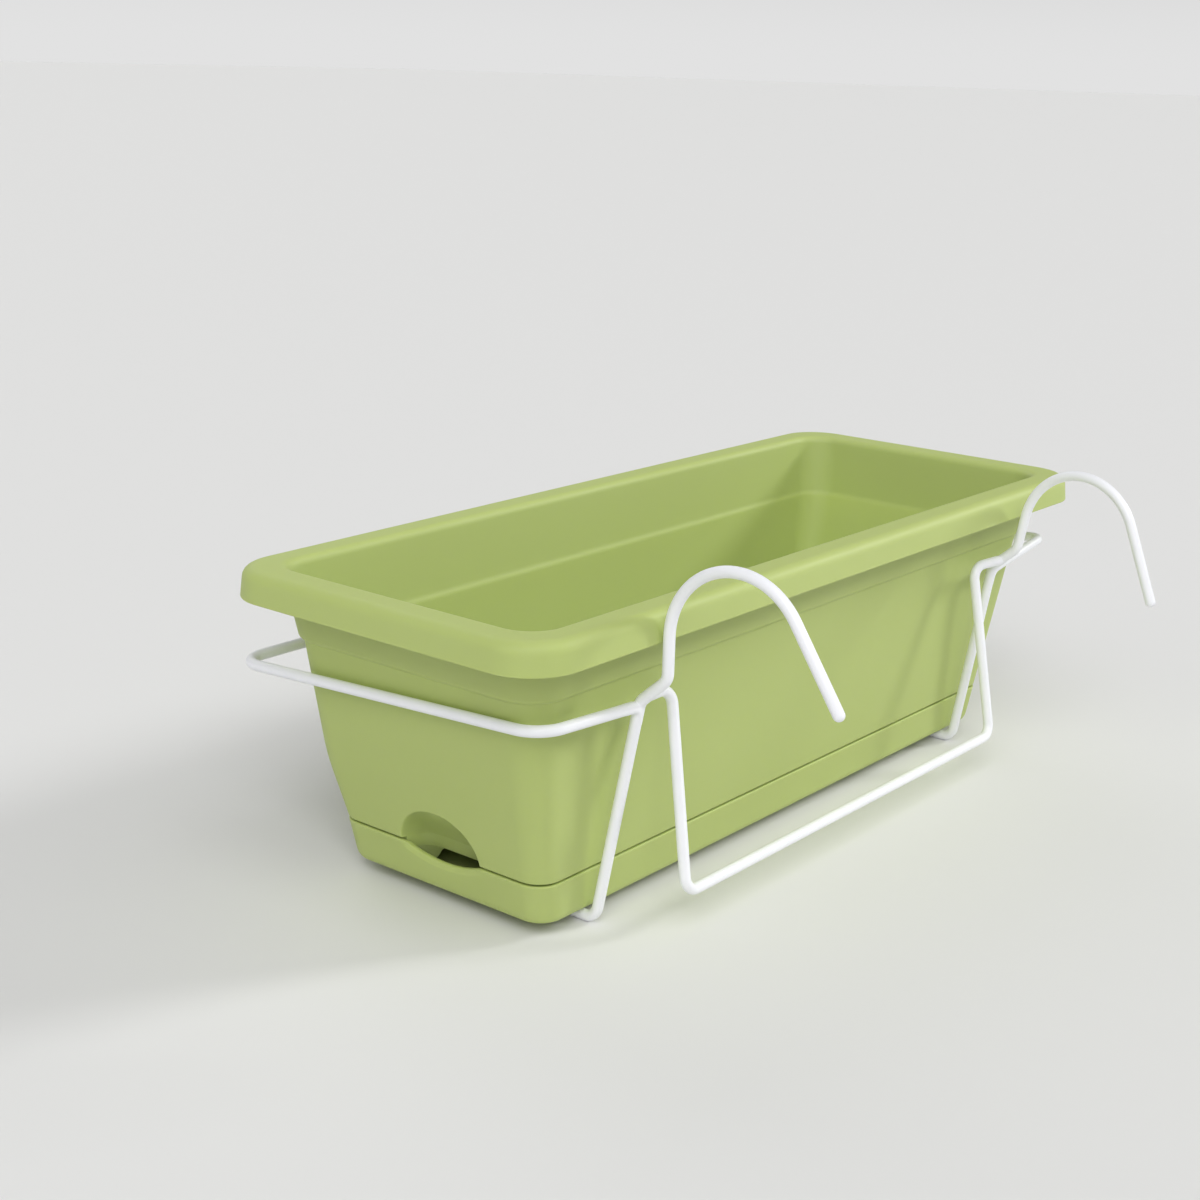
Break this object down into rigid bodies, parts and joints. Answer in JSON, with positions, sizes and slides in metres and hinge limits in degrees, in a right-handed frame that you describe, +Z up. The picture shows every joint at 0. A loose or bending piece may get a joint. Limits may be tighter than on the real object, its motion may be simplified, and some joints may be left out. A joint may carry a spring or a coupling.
{
  "type": "railing planter",
  "caption": "Tapered trough planter on a clip-on drip tray with a watering scoop, carried by a bent-wire holder whose hooks hang over a balcony handrail.",
  "frame": {"origin": "middle of the overall box's footprint, on the ground under the two cradle wires", "axes": "+X along the trough towards the end without the scoop, -Y towards the handrail, +Z up"},
  "size_m": [0.4, 0.2476, 0.1484],
  "materials": {
    "trough": "satin moulded, pistachio green",
    "tray": "satin moulded, pistachio green",
    "wire": "semi-gloss white powder coat"
  },
  "bodies": {
    "holder": {"ring_wire": "wire", "spacer_wire": "wire", "hook_wire_left": "wire", "hook_wire_right": "wire"},
    "tray": {"drip_tray": "tray"},
    "trough": {"pot": "trough"}
  },
  "joints": [
    {"name": "tray_lift", "type": "slide", "parent": "holder", "child": "tray", "axis": [0, 0, 1], "range_m": [0, 0.16]},
    {"name": "pot_lift", "type": "slide", "parent": "tray", "child": "trough", "axis": [0, 0, 1], "range_m": [0, 0.05]}
  ]
}
